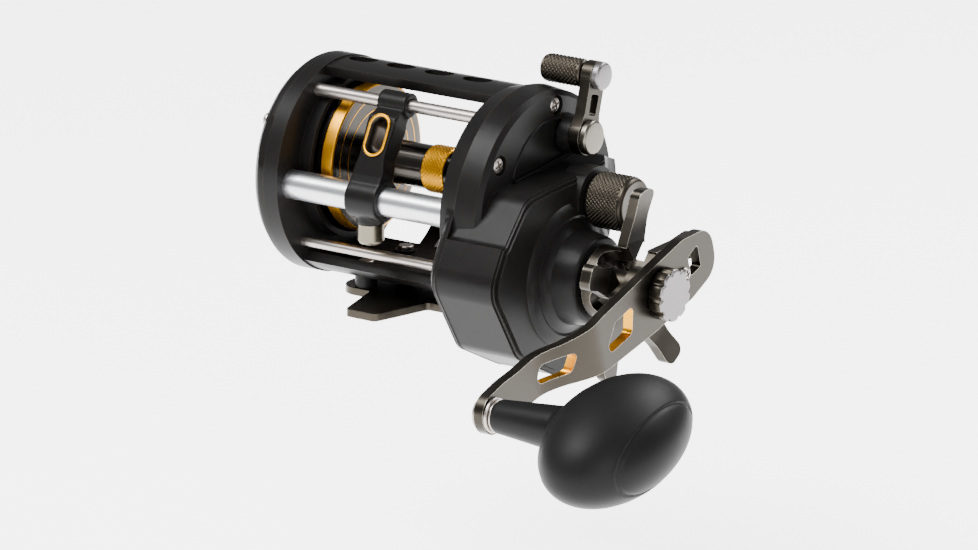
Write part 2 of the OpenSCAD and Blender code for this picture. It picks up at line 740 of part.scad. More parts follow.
module tension_cap() color("#35322c") {
  x0 = face_x + 2.7;
  x1 = 73.6;
  difference() {
    turned_x(spool_c, [[0, x0], [cap_r - 0.6, x0], [cap_r, x0 + 0.5], [cap_r, x1 - 1.2],
      [cap_r - 0.9, x1], [0, x1]]);
    rod_x(x0 - 1, x1 - 4, spool_c, 6.7);
  }
}

module tension_shims() color("#c8b27a") {
  rod_x(66.9, 67.7, spool_c, 4.2);
  tube_x(67.75, 68.3, spool_c, 4.6, 2.4);
}

// ----------------------------------------------------------------- spool

module spool() color("#3a3834") {
  skin = 1.7;
  difference() {
    union() {
      turned_x(spool_c, [[0, line_x0 - 2], [flange_r, line_x0 - 2], [flange_r, line_x0 - 0.4],
        [flange_r - 0.5, line_x0], [flange_r - 2, line_x0 + 0.15], [arbor_r + 2, line_x0 + 0.9],
        [arbor_r, line_x0 + 3], [arbor_r, line_x1 - 3],
        [arbor_r + 2, line_x1 - 0.9], [flange_r - 2, line_x1 - 0.15],
        [flange_r - 0.5, line_x1], [flange_r, line_x1 + 0.4], [flange_r, line_x1 + 2],
        [0, line_x1 + 2]]);
      tube_x(rim_x0, line_x0 - 1, spool_c, flange_r, flange_r - skin);
      tube_x(line_x1 + 1, rim_x1, spool_c, flange_r, flange_r - skin);
    }
    rod_x(rim_x0, rim_x1, spool_c, shaft_r + 0.02);
    tube_x(line_x0 - 6, line_x0 + 0.2 - flange_t, spool_c, flange_r - skin - 1.2, 8);
  }
}

// Knurled band that grips the first turns of line.
module arbor_band() color("#d9a441") {
  tube_x(0.7, 8.8, spool_c, arbor_r + 0.6, arbor_r + 0.02);
}

module spool_shaft() color("#d5d5d8") {
  rod_x(-42, 66.6, spool_c, shaft_r);
  translate([41.7, spool_c[0], spool_c[1]]) cylinder(r = 0.7, h = 8.6, center = true);
}

bearing_x = [-42.3, face_x + 2.9];
module spool_bearings() color("#c4c4c8") {
  w = 3.2;
  balls = 7;
  for (x = bearing_x) {
    tube_x(x, x + w, spool_c, 5, 4.1);
    tube_x(x, x + w, spool_c, 2.9, shaft_r + fit_gap);
    for (k = [0:balls - 1])
      translate([x + w / 2, spool_c[0] + 3.5 * cos(360 * k / balls),
                 spool_c[1] + 3.5 * sin(360 * k / balls)]) sphere(r = 0.55, $fn = 24);
  }
}

// ------------------------------------------------------------- level wind

module upper_guide_rod() color("silver")
  rod_x(tail_seam_x + 3.1, seam_x - 2.1, upper_rod_c, guide_rod_r);
module lower_cross_rod() color("silver")
  rod_x(tail_seam_x + 3.1, seam_x - 2.1, lower_rod_c, lower_rod_r);

module worm_shield() color("#e4e4e6") {
  slot_w = 3.4;
  difference() {
    tube_x(tail_seam_x + 0.1, seam_x - 0.2, worm_c, shield_r, shield_r - 1);
    translate([-26, worm_c[0] - slot_w / 2, worm_c[1] - shield_r - 1])
      cube([54, slot_w, shield_r]);
    translate([-27, worm_c[0], worm_c[1]]) rotate([-52, 0, 0])
      translate([0, -0.5, 0]) cube([56, 1, shield_r + 1]);
  }
}

worm_r = 2.7;
module worm_shaft() color("#d8d0b8") {
  pitch = 9;
  x0 = -24;
  x1 = 26;
  turns = (x1 - x0) / pitch;
  difference() {
    rod_x(x0 - 2, x1 + 2, worm_c, worm_r);
    for (hand = [-1, 1]) translate([x0, worm_c[0], worm_c[1]]) rotate([0, 90, 0])
      linear_extrude(height = x1 - x0, twist = hand * 360 * turns, slices = 72, $fn = 6)
        translate([worm_r, 0]) circle(r = 0.75, $fn = 6);
  }
  rod_x(-34.6, x0 - 1.99, worm_c, 2);
  rod_x(x1 + 1.99, drive_x + 3.4, worm_c, 2);
}

module worm_bushings() color("#efe9dc") {
  tube_x(-34.8, -31.6, worm_c, shield_r - 1 - fit_gap, 2 + fit_gap);
  tube_x(32, 36.4, worm_c, shield_r - 1 - fit_gap, 2 + fit_gap);
}

// The carriage is drawn in its own leaning frame: +Z along the lean from the worm
// to the upper rod, -Y towards the front of the reel.
module leaning() {
  translate([carriage_x, worm_c[0], worm_c[1]]) rotate([lean_a - 90, 0, 0]) children();
}

eye_u = 18.2;
eye_l = 12.4;
eye_w = 6.8;
module eye_shape(grow, y0, y1) {
  r = eye_w / 2 + grow;
  for (s = [-1, 1]) translate([0, y0, eye_u + s * (eye_l - eye_w) / 2]) rotate([-90, 0, 0])
    cylinder(r = r, h = y1 - y0);
  translate([-r, y0, eye_u - (eye_l - eye_w) / 2]) cube([2 * r, y1 - y0, eye_l - eye_w]);
}

module line_guide_carriage() color("#1e1e20") {
  body_w = 11;
  hole_r = shield_r + 0.1;
  difference() {
    union() {
      rod_x(carriage_x - body_w / 2, carriage_x + body_w / 2, worm_c, shield_r + 1.9);
      rod_x(carriage_x - body_w / 2 + 0.5, carriage_x + body_w / 2 - 0.5, upper_rod_c,
            guide_rod_r + 1.9);
      leaning() intersection() {
        translate([body_w, 0, 0]) rotate([0, -90, 0]) linear_extrude(height = 2 * body_w)
          polygon(rounded([[0, -5.6], [6, -5.2], [11, -5.6], [14, -5.8], [24, -5.8],
                           [27.6, -2.8], [lean_l, -3.4], [lean_l, 1.2], [0, 1.2]],
                          [0.5, 3, 3, 2, 2.4, 2, 0.5, 0.5, 0.5]));
        translate([0, 4, 0]) rotate([90, 0, 0]) linear_extrude(height = 16)
          polygon(rounded([[-5.3, 0.2], [-5.3, 8], [-4.4, 12], [-5, 22], [-4.6, 26],
                           [-4.2, lean_l + 1], [4.2, lean_l + 1], [4.6, 26], [5, 22],
                           [4.4, 12], [5.3, 8], [5.3, 0.2]],
                          [1, 5, 5, 3, 3, 1, 1, 3, 3, 5, 5, 1]));
      }
      translate([carriage_x, worm_c[0], worm_c[1] - 7.3]) cylinder(r = 4.3, h = 6);
    }
    rod_x(-60, 60, worm_c, hole_r);
    rod_x(-60, 60, upper_rod_c, guide_rod_r + 0.1);
    leaning() eye_shape(0.05, -9, 3);
    translate([carriage_x, worm_c[0], worm_c[1] - 9]) cylinder(r = 2.3 + fit_gap, h = 8);
  }
}

module line_guide_insert() color("#d9a441") {
  leaning() difference() {
    union() {
      eye_shape(0, -6.4, 1.1);
      eye_shape(0.5, -6.4, -5.84);
    }
    eye_shape(-1.15, -8, 3);
  }
}

module carriage_pawl() color("#c9b98c") {
  tip_z = worm_c[1] - worm_r - 0.2;
  translate([carriage_x, worm_c[0], 0]) {
    translate([0, 0, tip_z - 4.2]) cylinder(r = 2.3, h = 2.4);
    translate([-1.5, -0.6, tip_z - 1.81]) cube([3, 1.2, 1.8]);
  }
}

module pawl_cap() color("#8c8676") {
  z1 = worm_c[1] - 7.35;
  translate([carriage_x, worm_c[0], z1]) mirror([0, 0, 1]) {
    difference() {
      rotate_extrude() polygon([[0, 0], [4, 0], [4, 5], [3.4, 5.9], [2, 6.4], [0, 6.5]]);
      translate([0, 0, 6.4]) cube([1, 10, 1.2], center = true);
    }
  }
}

// -------------------------------------------------------------- reel foot

module reel_foot() color("#6d675f") {
  half = foot_l / 2;
  difference() {
    linear_extrude(height = foot_t)
      polygon(rounded([[-5.4, -half], [5.4, -half], [9, -20], [10.6, -13.6], [22.8, -13.6],
                       [22.8, 15.6], [10.6, 15.6], [9, 20], [5.4, half], [-5.4, half],
                       [-9, 20], [-10.6, 15.6], [-22.8, 15.6], [-22.8, -13.6],
                       [-10.6, -13.6], [-9, -20]],
                      [2, 2, 6, 1.5, 6, 6, 1.5, 6, 2, 2, 6, 1.5, 6, 6, 1.5, 6]));
    for (x = [-1, 1]) for (y = foot_screw_y) translate([x * foot_screw_x, y, -1]) {
      cylinder(r = foot_screw_r + fit_gap, h = 5);
      translate([0, 0, -1]) cylinder(r = 3.1, h = 2.9);
    }
  }
}

module foot_screws() color("silver") {
  for (x = [-1, 1]) for (y = foot_screw_y) translate([x * foot_screw_x, y, 0]) {
    translate([0, 0, 0.15]) cylinder(r = 3, h = 0.7);
    translate([0, 0, 0.8]) cylinder(r = foot_screw_r, h = foot_head_z - 0.7);
    translate([0, 0, foot_head_z + 0.04]) cylinder(r = foot_head_r, h = 1.4);
  }
}

// ------------------------------------------------------- star and handle

star_a = 16;
star_rim_x = 81.4;
star_t = 3.4;
// How far the arms bend outwards, as [radius, rise].
star_bend = [[8, 0], [14, 0.2], [20, 1.4], [star_r, 4]];

// One arm, drawn along +Y from the star's axis.
module star_arm() {
  under = [for (p = star_bend) [star_rim_x - star_t + p[1], p[0]]];
  over = [for (i = [len(star_bend) - 1:-1:0]) [star_rim_x + star_bend[i][1], star_bend[i][0]]];
  intersection() {
    translate([0, 0, -8]) linear_extrude(height = 16) polygon(concat(under, over));
    slab_x(star_x, star_x + 24) polygon(rounded(
      [[7, -7], [13, -4.6], [star_r - 8, -3.4], [star_r, -4], [star_r, 4],
       [star_r - 8, 3.4], [13, 4.6], [7, 7]], [1, 6, 10, 2.6, 2.6, 10, 6, 1]));
  }
}

module star_drag() color("#55514a") {
  hub_r = 11;
  notch_w = 8.4;
  difference() {
    union() {
      rod_x(star_x, star_rim_x - 0.5, main_c, hub_r);
      for (k = [0:4]) translate([0, main_c[0], main_c[1]]) rotate([star_a + 72 * k, 0, 0])
        star_arm();
    }
    rod_x(star_x - 1, star_x + 30, main_c, sleeve_r - 0.2 + fit_gap);
    rod_x(star_x + 3, star_x + 30, main_c, 7.4);
    for (k = [0:4]) translate([star_x + 2.8, main_c[0], main_c[1]])
      rotate([star_a + 36 + 72 * k - 90, 0, 0]) translate([0, 0, 5])
        linear_extrude(height = 8) polygon(rounded(
          [[0, -notch_w / 2], [14, -notch_w / 2 - 0.6], [14, notch_w / 2 + 0.6],
           [0, notch_w / 2]], [4, 1, 1, 4]));
  }
}

module drag_spring_washers() color("#b5b2aa") {
  for (i = [0, 1]) tube_x(66.9 + i * 1.4, 68 + i * 1.4, main_c, 7, sleeve_r);
}

// Blade outline in the plane of the blade: u towards the counterweight end.
blade_outline = [[28, -7], [28, 7], [14, 10.2], [-6, 9.4], [-30, 8.2], [-44, 6.2], [-60, 6],
                 [-68, 6.5], [-80.2, 5.9], [-80.2, -5.9], [-68, -6.5], [-60, -6.2], [-44, -7],
                 [-30, -8.6], [-6, -9.8], [14, -9.6]];
blade_radii = [6.8, 6.8, 14, 20, 30, 20, 20, 20, 5.7, 5.7, 20, 20, 20, 30, 20, 14];
// Offset of the blade's outer face from the nut seat, along the blade.
blade_drop = blade_x - knob_base_x;
function blade_side(u) =
  u > -32 ? 0 : u < -54 ? -blade_drop : -blade_drop * (1 - cos(180 * (-32 - u) / 22)) / 2;

module blade_plane() {
  translate([0, main_c[0], main_c[1]]) rotate([handle_a, 0, 0]) children();
}

module handle_blade() color("#55514a") {
  stations = concat([40], [for (i = [0:11]) -32 - 2 * i], [-90]);
  top = [for (u = stations) [blade_x + blade_side(u), u]];
  bottom = [for (i = [len(stations) - 1:-1:0]) let (u = stations[i])
    [blade_x - blade_t + blade_side(u), u]];
  difference() {
    blade_plane() intersection() {
      translate([0, 0, -12]) linear_extrude(height = 24) polygon(concat(top, bottom));
      slab_x(60, 100) polygon(rounded(blade_outline, blade_radii));
    }
    blade_plane() slab_x(60, 100) {
      polygon(rounded([[-31.5, -4.6], [-17, -4.2], [-14.4, 3.8], [-24, 3.4]],
                      [2, 2, 1.4, 2]));
      polygon(rounded([[-54, -3], [-42.5, -3.6], [-39.8, 2.2], [-51, 2.6]],
                      [2, 2, 1.4, 2]));
      polygon(rounded([[15, -2.6], [20.4, -2.2], [20.4, 5], [15, 3.8]], [0.8, 0.8, 0.8, 0.8]));
    }
    difference() {
      rod_x(60, 100, main_c, sleeve_r - 0.2 + fit_gap);
      for (s = [-1, 1]) translate([80, main_c[0] + s * (3 + fit_gap + 5), main_c[1]])
        cube([50, 10, 20], center = true);
    }
    rod_x(60, 100, knob_c2, 3.05);
    rod_x(60, 100, main_c + 11.6 * blade_dir, 0.85);
  }
}

module handle_nut() color("#b9b4ae") {
  lobes = 10;
  x0 = blade_x + 0.32;
  x1 = x0 + 4.6;
  difference() {
    turned_x(main_c, [[0, x0], [7.6, x0], [7.9, x0 + 0.3], [7.9, x1 - 0.6], [7.3, x1],
      [0, x1]]);
    for (k = [0:lobes - 1]) let (a = 360 * k / lobes + handle_a + 18)
      rod_x(x0 - 1, x1 + 1, main_c + 8.7 * [cos(a), sin(a)], 1.5);
    rod_x(x0 - 1, x1 - 1, main_c, 2.95);
  }
}

module nut_lock_screw() color("silver") {
  screw_x(blade_x + 0.02, main_c + 11.6 * blade_dir, 0.8, 2, 1.6, 2.8);
}

module knob_post() color("silver") {
  back = knob_base_x - blade_t;
  rod_x(back - 0.5, 104, knob_c2, 3);
  turned_x(knob_c2, [[0, back - 1.6], [3.8, back - 1.6], [4.8, back - 1], [4.8, back - 0.02],
    [0, back - 0.02]]);
}

module knob_washers() color("#cfcbc4") {
  tube_x(knob_base_x + 0.02, knob_base_x + 1.1, knob_c2, 5.2, 3.05);
  tube_x(knob_base_x + 1.2, knob_base_x + 1.9, knob_c2, 4.6, 3.05);
}

module knob_neck() color("#1c1c1e") {
  x0 = knob_base_x + 2;
  difference() {
    turned_x(knob_c2, [[0, x0], [4.9, x0], [5.4, x0 + 0.5], [6.4, 94], [7.4, 100],
      [9, knob_x - knob_cut], [0, knob_x - knob_cut]]);
    rod_x(x0 - 1, 104.3, knob_c2, 3.06);
  }
}

// The grip is flat where it meets the neck.
knob_cut = knob_c * 0.88;
module knob_grip() color("#18181a") {
  difference() {
    translate([knob_x, knob_c2[0], knob_c2[1]]) rotate([handle_a, 0, 0])
      scale([1, knob_a / knob_b, 1]) rotate([0, 90, 0]) rotate_extrude($fn = 56)
        polygon([for (a = [-90:7.5:90]) [knob_b * cos(a), knob_c * sin(a)]]);
    rod_x(knob_x - knob_c - 1, knob_x - knob_cut + 0.02, knob_c2, 20);
  }
}

// -------------------------------------------------------------- assembly

frame();
tail_plate();
tail_plate_screws();
gear_housing();
housing_screws();
bridge_plate();
bridge_screws();
reel_foot();
foot_screws();
upper_guide_rod();
lower_cross_rod();
worm_shield();
worm_shaft();
worm_gear();
worm_bushings();
line_guide_carriage();
line_guide_insert();
carriage_pawl();
pawl_cap();
spool();
arbor_band();
spool_shaft();
spool_bearings();
clicker_ratchet();
clicker_button();
clicker_pawl();
clicker_spring();
tail_bearing_cap();
pinion_gear();
clutch_yoke();
yoke_springs();
clutch_cam();
freespool_lever();
lever_knob();
lever_end_cap();
lever_pivot_screw();
main_gear();
carbon_drag_washers();
steel_drag_washers();
gear_sleeve();
anti_reverse_ratchet();
anti_reverse_dog();
dog_spring();
roller_clutch();
levelwind_drive_gear();
drag_spring_washers();
star_drag();
handle_blade();
handle_nut();
nut_lock_screw();
knob_post();
knob_washers();
knob_neck();
knob_grip();
tension_cap();
tension_shims();
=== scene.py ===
"""Looks of the level-wind trolling reel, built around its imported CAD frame."""

import json
import math

import bmesh
import bpy
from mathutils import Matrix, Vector

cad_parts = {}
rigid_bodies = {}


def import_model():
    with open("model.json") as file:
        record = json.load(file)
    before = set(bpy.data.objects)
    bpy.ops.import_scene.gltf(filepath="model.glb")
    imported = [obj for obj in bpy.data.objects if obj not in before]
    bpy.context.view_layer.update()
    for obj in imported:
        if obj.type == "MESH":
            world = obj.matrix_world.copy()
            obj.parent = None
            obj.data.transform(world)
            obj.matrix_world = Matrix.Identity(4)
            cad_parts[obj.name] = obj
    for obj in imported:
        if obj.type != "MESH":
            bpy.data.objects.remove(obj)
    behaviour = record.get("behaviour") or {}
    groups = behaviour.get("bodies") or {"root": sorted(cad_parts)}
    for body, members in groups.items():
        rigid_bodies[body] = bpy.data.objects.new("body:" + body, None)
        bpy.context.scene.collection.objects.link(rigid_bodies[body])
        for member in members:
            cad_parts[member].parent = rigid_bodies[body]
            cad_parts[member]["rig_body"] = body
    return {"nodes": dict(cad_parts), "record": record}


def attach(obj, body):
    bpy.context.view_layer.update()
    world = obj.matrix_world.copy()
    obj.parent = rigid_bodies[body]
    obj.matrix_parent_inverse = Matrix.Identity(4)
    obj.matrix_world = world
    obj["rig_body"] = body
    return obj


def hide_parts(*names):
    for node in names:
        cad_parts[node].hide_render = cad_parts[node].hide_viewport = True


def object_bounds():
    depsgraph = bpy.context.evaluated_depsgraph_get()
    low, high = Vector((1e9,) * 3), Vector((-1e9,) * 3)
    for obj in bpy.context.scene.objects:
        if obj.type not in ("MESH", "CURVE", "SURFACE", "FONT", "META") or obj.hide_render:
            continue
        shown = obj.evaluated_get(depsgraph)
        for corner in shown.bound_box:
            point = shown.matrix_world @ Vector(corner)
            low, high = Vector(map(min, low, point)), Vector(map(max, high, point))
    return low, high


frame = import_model()
cad_low, cad_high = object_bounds()

MM = 0.001


def polar(centre, distance, degrees):
    """The point in the YZ plane at a distance from a centre, angle from +Y."""
    turn = math.radians(degrees)
    return (centre[0] + distance * math.cos(turn), centre[1] + distance * math.sin(turn))


# Axes and sizes in millimetres, as in the CAD; each axis is a (y, z) pair.
SPOOL = (3.5, 38.5)
MAIN = (-8.5, 17.715)
WORM = (-26.001, 35.216)
UPPER_ROD = (-12.4, 61.4)
LEVER = (8.3, 55.1)
LEVER_TOP = polar(LEVER, 18.3, 90 - 16)
HANDLE_TILT = 15.8
HANDLE_ANGLE = math.radians(HANDLE_TILT)
HANDLE_LENGTH = 75.0
KNOB = polar(MAIN, -HANDLE_LENGTH, HANDLE_TILT)
KNOB_X = 124.4
KNOB_HALF = 19.0
KNOB_WIDE, KNOB_TALL = 27.5, 15.3
NECK_X = 84.4
CARRIAGE_X = -1.0
EYE_ALONG = 18.2
EYE_STRAIGHT = 5.6
FLANGE_R = 22.6
ARBOR_R = 6.7
LINE_X = (-20.5, 28.2)
RIM_X = (-29.5, 36.0)


# ------------------------------------------------------------- node graphs

class Graph:
    """A material's node tree, with short calls for the nodes used here."""

    def __init__(self, name):
        self.material = bpy.data.materials.new(name)
        self.material.use_nodes = True
        self.tree = self.material.node_tree
        self.shader = self.tree.nodes["Principled BSDF"]

    def node(self, kind, inputs=None, **settings):
        made = self.tree.nodes.new(kind)
        for key, value in settings.items():
            setattr(made, key, value)
        for key, value in (inputs or {}).items():
            self.feed(made.inputs[key], value)
        return made

    def feed(self, socket, value):
        if isinstance(value, bpy.types.NodeSocket):
            self.tree.links.new(value, socket)
        else:
            socket.default_value = value

    def place(self, scale=(1, 1, 1)):
        where = self.node("ShaderNodeTexCoord").outputs["Object"]
        return self.node("ShaderNodeMapping", {"Vector": where, "Scale": scale}).outputs["Vector"]

    def noise(self, vector, scale, detail=3.0, roughness=0.55):
        return self.node("ShaderNodeTexNoise", {
            "Vector": vector, "Scale": scale, "Detail": detail, "Roughness": roughness,
        }).outputs["Fac"]

    def spread(self, value, low, high, from_low=0.3, from_high=0.7):
        return self.node("ShaderNodeMapRange", {
            "Value": value, "From Min": from_low, "From Max": from_high,
            "To Min": low, "To Max": high,
        }).outputs["Result"]

    def mix(self, factor, a, b):
        made = self.node("ShaderNodeMix", data_type="RGBA")
        self.feed(made.inputs["Factor"], factor)
        self.feed(made.inputs["A"], a)
        self.feed(made.inputs["B"], b)
        return made.outputs["Result"]

    def math(self, operation, a, b):
        made = self.node("ShaderNodeMath", operation=operation)
        self.feed(made.inputs[0], a)
        self.feed(made.inputs[1], b)
        return made.outputs[0]

    def bump(self, height, distance, strength):
        return self.node("ShaderNodeBump", {
            "Height": height, "Distance": distance, "Strength": strength,
        }).outputs["Normal"]

    def edges(self, radius, low=0.02, high=0.3):
        """0 on flats, rising to 1 along edges sharper than the radius."""
        soft = self.node("ShaderNodeBevel", {"Radius": radius}, samples=4).outputs["Normal"]
        hard = self.node("ShaderNodeNewGeometry").outputs["Normal"]
        dot = self.node("ShaderNodeVectorMath", operation="DOT_PRODUCT")
        self.feed(dot.inputs[0], soft)
        self.feed(dot.inputs[1], hard)
        return self.spread(self.math("SUBTRACT", 1.0, dot.outputs["Value"]), 0.0, 1.0,
                           low, high)

    def finish(self, **sockets):
        for key, value in sockets.items():
            self.feed(self.shader.inputs[key.replace("_", " ")], value)
        return self.material


def rgb(r, g, b):
    return (r, g, b, 1.0)


def satin_black():
    g = Graph("satin_black")
    where = g.place()
    grain = g.noise(where, 5200, 2)
    cloud = g.noise(where, 60, 4)
    colour = g.mix(cloud, rgb(0.004, 0.0038, 0.0038), rgb(0.007, 0.0064, 0.006))
    # Painted highlight: the edges are made lighter in the base colour.
    edge_highlighted = g.mix(g.edges(0.0004), colour, rgb(0.02, 0.0175, 0.015))
    return g.finish(Base_Color=edge_highlighted, Metallic=0.0, Specular_IOR_Level=0.1,
                    Roughness=g.spread(cloud, 0.32, 0.42),
                    Normal=g.bump(grain, 0.00002, 0.35))


def anodised(name, low, high, edge_highlight, rough_low, rough_high):
    """Anodised aluminium with a fine grain and its edges painted brighter as a highlight."""
    g = Graph(name)
    where = g.place()
    grain = g.noise(where, 4000, 2)
    cloud = g.noise(where, 110, 4)
    # Painted highlight: the edges take the brighter edge colour in the base colour.
    colour = g.mix(g.edges(0.0003), g.mix(cloud, low, high), edge_highlight)
    return g.finish(Base_Color=colour, Metallic=1.0,
                    Roughness=g.spread(cloud, rough_low, rough_high),
                    Normal=g.bump(grain, 0.000018, 0.28))


def turned(name, low, high, rough_low, rough_high, lines=0.25):
    """Metal with fine marks round the X axis, as left by a lathe."""
    g = Graph(name)
    marks = g.noise(g.place(scale=(90, 1, 1)), 160, 3)
    cloud = g.noise(g.place(), 70, 4)
    return g.finish(Base_Color=g.mix(cloud, low, high), Metallic=1.0,
                    Roughness=g.spread(marks, rough_low, rough_high),
                    Normal=g.bump(marks, 0.000015, lines))


def rubber():
    g = Graph("black_rubber")
    where = g.place()
    grain = g.noise(where, 2600, 4, 0.65)
    cloud = g.noise(where, 45, 4)
    colour = g.mix(cloud, rgb(0.003, 0.003, 0.0032), rgb(0.006, 0.006, 0.0062))
    return g.finish(Base_Color=colour, Metallic=0.0, Specular_IOR_Level=0.1,
                    Roughness=g.spread(cloud, 0.42, 0.52),
                    Normal=g.bump(grain, 0.00003, 0.3))


def nylon():
    g = Graph("nylon")
    cloud = g.noise(g.place(), 300, 3)
    return g.finish(Base_Color=g.mix(cloud, rgb(0.75, 0.72, 0.64), rgb(0.82, 0.8, 0.73)),
                    Roughness=g.spread(cloud, 0.4, 0.55),
                    Normal=g.bump(cloud, 0.00002, 0.3))


def carbon():
    g = Graph("carbon_weave")
    weave = g.node("ShaderNodeTexChecker", {"Vector": g.place(), "Scale": 900}).outputs["Fac"]
    return g.finish(Base_Color=g.mix(weave, rgb(0.02, 0.02, 0.022), rgb(0.06, 0.06, 0.065)),
                    Roughness=0.6, Normal=g.bump(weave, 0.00003, 0.4))


# The third colour of each anodised finish is its painted edge highlight.
materials = {
    "satin_black": satin_black(),
    "gunmetal": anodised("gunmetal", rgb(0.029, 0.0255, 0.0205), rgb(0.043, 0.038, 0.031),
                         rgb(0.5, 0.46, 0.39), 0.28, 0.38),
    "dark_gunmetal": anodised("dark_gunmetal", rgb(0.03, 0.026, 0.02), rgb(0.05, 0.043, 0.034),
                              rgb(0.09, 0.078, 0.06), 0.32, 0.44),
    "spool_black": anodised("spool_black", rgb(0.035, 0.032, 0.028), rgb(0.055, 0.05, 0.045),
                            rgb(0.1, 0.09, 0.08), 0.16, 0.24),
    "lever_steel": anodised("lever_steel", rgb(0.12, 0.11, 0.092), rgb(0.165, 0.15, 0.128),
                            rgb(0.55, 0.51, 0.45), 0.28, 0.38),
    "nut_face": anodised("nut_face", rgb(0.17, 0.162, 0.162), rgb(0.22, 0.208, 0.208),
                         rgb(0.75, 0.72, 0.72), 0.36, 0.46),
    "warm_nickel": anodised("warm_nickel", rgb(0.13, 0.115, 0.085), rgb(0.18, 0.16, 0.12),
                            rgb(0.3, 0.27, 0.21), 0.26, 0.34),
    "gold": anodised("gold", rgb(0.62, 0.27, 0.004), rgb(0.75, 0.35, 0.008),
                     rgb(0.9, 0.5, 0.03), 0.3, 0.42),
    "polished_steel": turned("polished_steel", rgb(0.36, 0.325, 0.3), rgb(0.45, 0.41, 0.38),
                             0.28, 0.38),
    "satin_aluminium": turned("satin_aluminium", rgb(0.6, 0.61, 0.64), rgb(0.7, 0.71, 0.73),
                              0.26, 0.36),
    "tool_steel": turned("tool_steel", rgb(0.4, 0.4, 0.41), rgb(0.5, 0.5, 0.5), 0.28, 0.4),
    "brass": turned("brass", rgb(0.6, 0.42, 0.16), rgb(0.7, 0.52, 0.22), 0.22, 0.34),
    "carbon_fibre": carbon(),
    "nylon": nylon(),
    "black_rubber": rubber(),
}
slot_of = {s["node"]: s["material_slot"] for s in frame["record"]["subparts"]}


def paint(obj, material):
    obj.data.materials.clear()
    obj.data.materials.append(material)


def refine(node, material=None):
    """A copy of a CAD node with softened edges and smooth shading that stands for it."""
    source = frame["nodes"][node]
    mesh = source.data.copy()
    obj = bpy.data.objects.new(node + "_finished", mesh)
    bpy.context.scene.collection.objects.link(obj)
    bm = bmesh.new()
    bm.from_mesh(mesh)
    bmesh.ops.remove_doubles(bm, verts=bm.verts, dist=1e-6)
    bmesh.ops.dissolve_limit(bm, angle_limit=math.radians(0.5), verts=bm.verts, edges=bm.edges)
    bm.to_mesh(mesh)
    bm.free()
    paint(obj, material or materials[slot_of[node]])
    mesh.polygons.foreach_set("use_smooth", [True] * len(mesh.polygons))
    bevel = obj.modifiers.new("edges", "BEVEL")
    bevel.width = 0.25 * MM
    bevel.segments = 2
    bevel.limit_method = "ANGLE"
    bevel.angle_limit = math.radians(32)
    weigh = obj.modifiers.new("normals", "WEIGHTED_NORMAL")
    weigh.weight = 100
    weigh.keep_sharp = False
    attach(obj, source["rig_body"])
    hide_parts(node)
    return obj


def tint(obj, material, test):
    """Gives another material to the faces for which test(centre in mm, normal) holds."""
    obj.data.materials.append(material)
    for face in obj.data.polygons:
        if test(face.center / MM, face.normal):
            face.material_index = len(obj.data.materials) - 1


def soften(node, voxel, passes):
    """A CAD node melted into one smooth skin, for a piece that was cast and polished."""
    obj = refine(node)
    obj.modifiers.clear()
    melt = obj.modifiers.new("melt", "REMESH")
    melt.mode = "VOXEL"
    melt.voxel_size = voxel * MM
    melt.use_smooth_shade = True
    smooth = obj.modifiers.new("smooth", "SMOOTH")
    smooth.factor = 0.5
    smooth.iterations = passes


# ------------------------------------------------------------ mesh making

def add_mesh(name, points, faces, material, body, replaces=(), slot=None, smooth=True):
    """A new piece from points in millimetres, riding on a body."""
    mesh = bpy.data.meshes.new(name)
    mesh.from_pydata([Vector(p) * MM for p in points], [], faces)
    mesh.validate()
    obj = bpy.data.objects.new(name, mesh)
    bpy.context.scene.collection.objects.link(obj)
    bm = bmesh.new()
    bm.from_mesh(mesh)
    bmesh.ops.remove_doubles(bm, verts=bm.verts, dist=1e-7)
    bmesh.ops.recalc_face_normals(bm, faces=bm.faces)
    bm.to_mesh(mesh)
    bm.free()
    mesh.polygons.foreach_set("use_smooth", [smooth] * len(mesh.polygons))
    paint(obj, material)
    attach(obj, body)
    if replaces:
        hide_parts(*replaces)
    return obj


def ring_faces(rows, around):
    """Quads of a tube of rows rings, each of around points."""
    return [(i * around + j, i * around + (j + 1) % around,
             (i + 1) * around + (j + 1) % around, (i + 1) * around + j)
            for i in range(rows - 1) for j in range(around)]


def turned_piece(name, centre, profile, material, body, around=144, **kwargs):
    """A solid of revolution about X from (x, radius) pairs; radius 0 closes it."""
    points = [(x, centre[0] + r * math.cos(a), centre[1] + r * math.sin(a))
              for x, r in profile
              for a in (2 * math.pi * j / around for j in range(around))]
    return add_mesh(name, points, ring_faces(len(profile), around), material, body, **kwargs)


def crisp(profile, gap=0.06):
    """Doubles the corners of a turned profile so that flats stay flat when shaded smooth."""
    made = [profile[0]]
    for (x0, r0), (x1, r1) in zip(profile, profile[1:]):
        length = math.hypot(x1 - x0, r1 - r0)
        if length > 3 * gap:
            share = gap / length
            made.append((x0 + (x1 - x0) * share, r0 + (r1 - r0) * share))
            made.append((x1 - (x1 - x0) * share, r1 - (r1 - r0) * share))
        made.append((x1, r1))
    return made


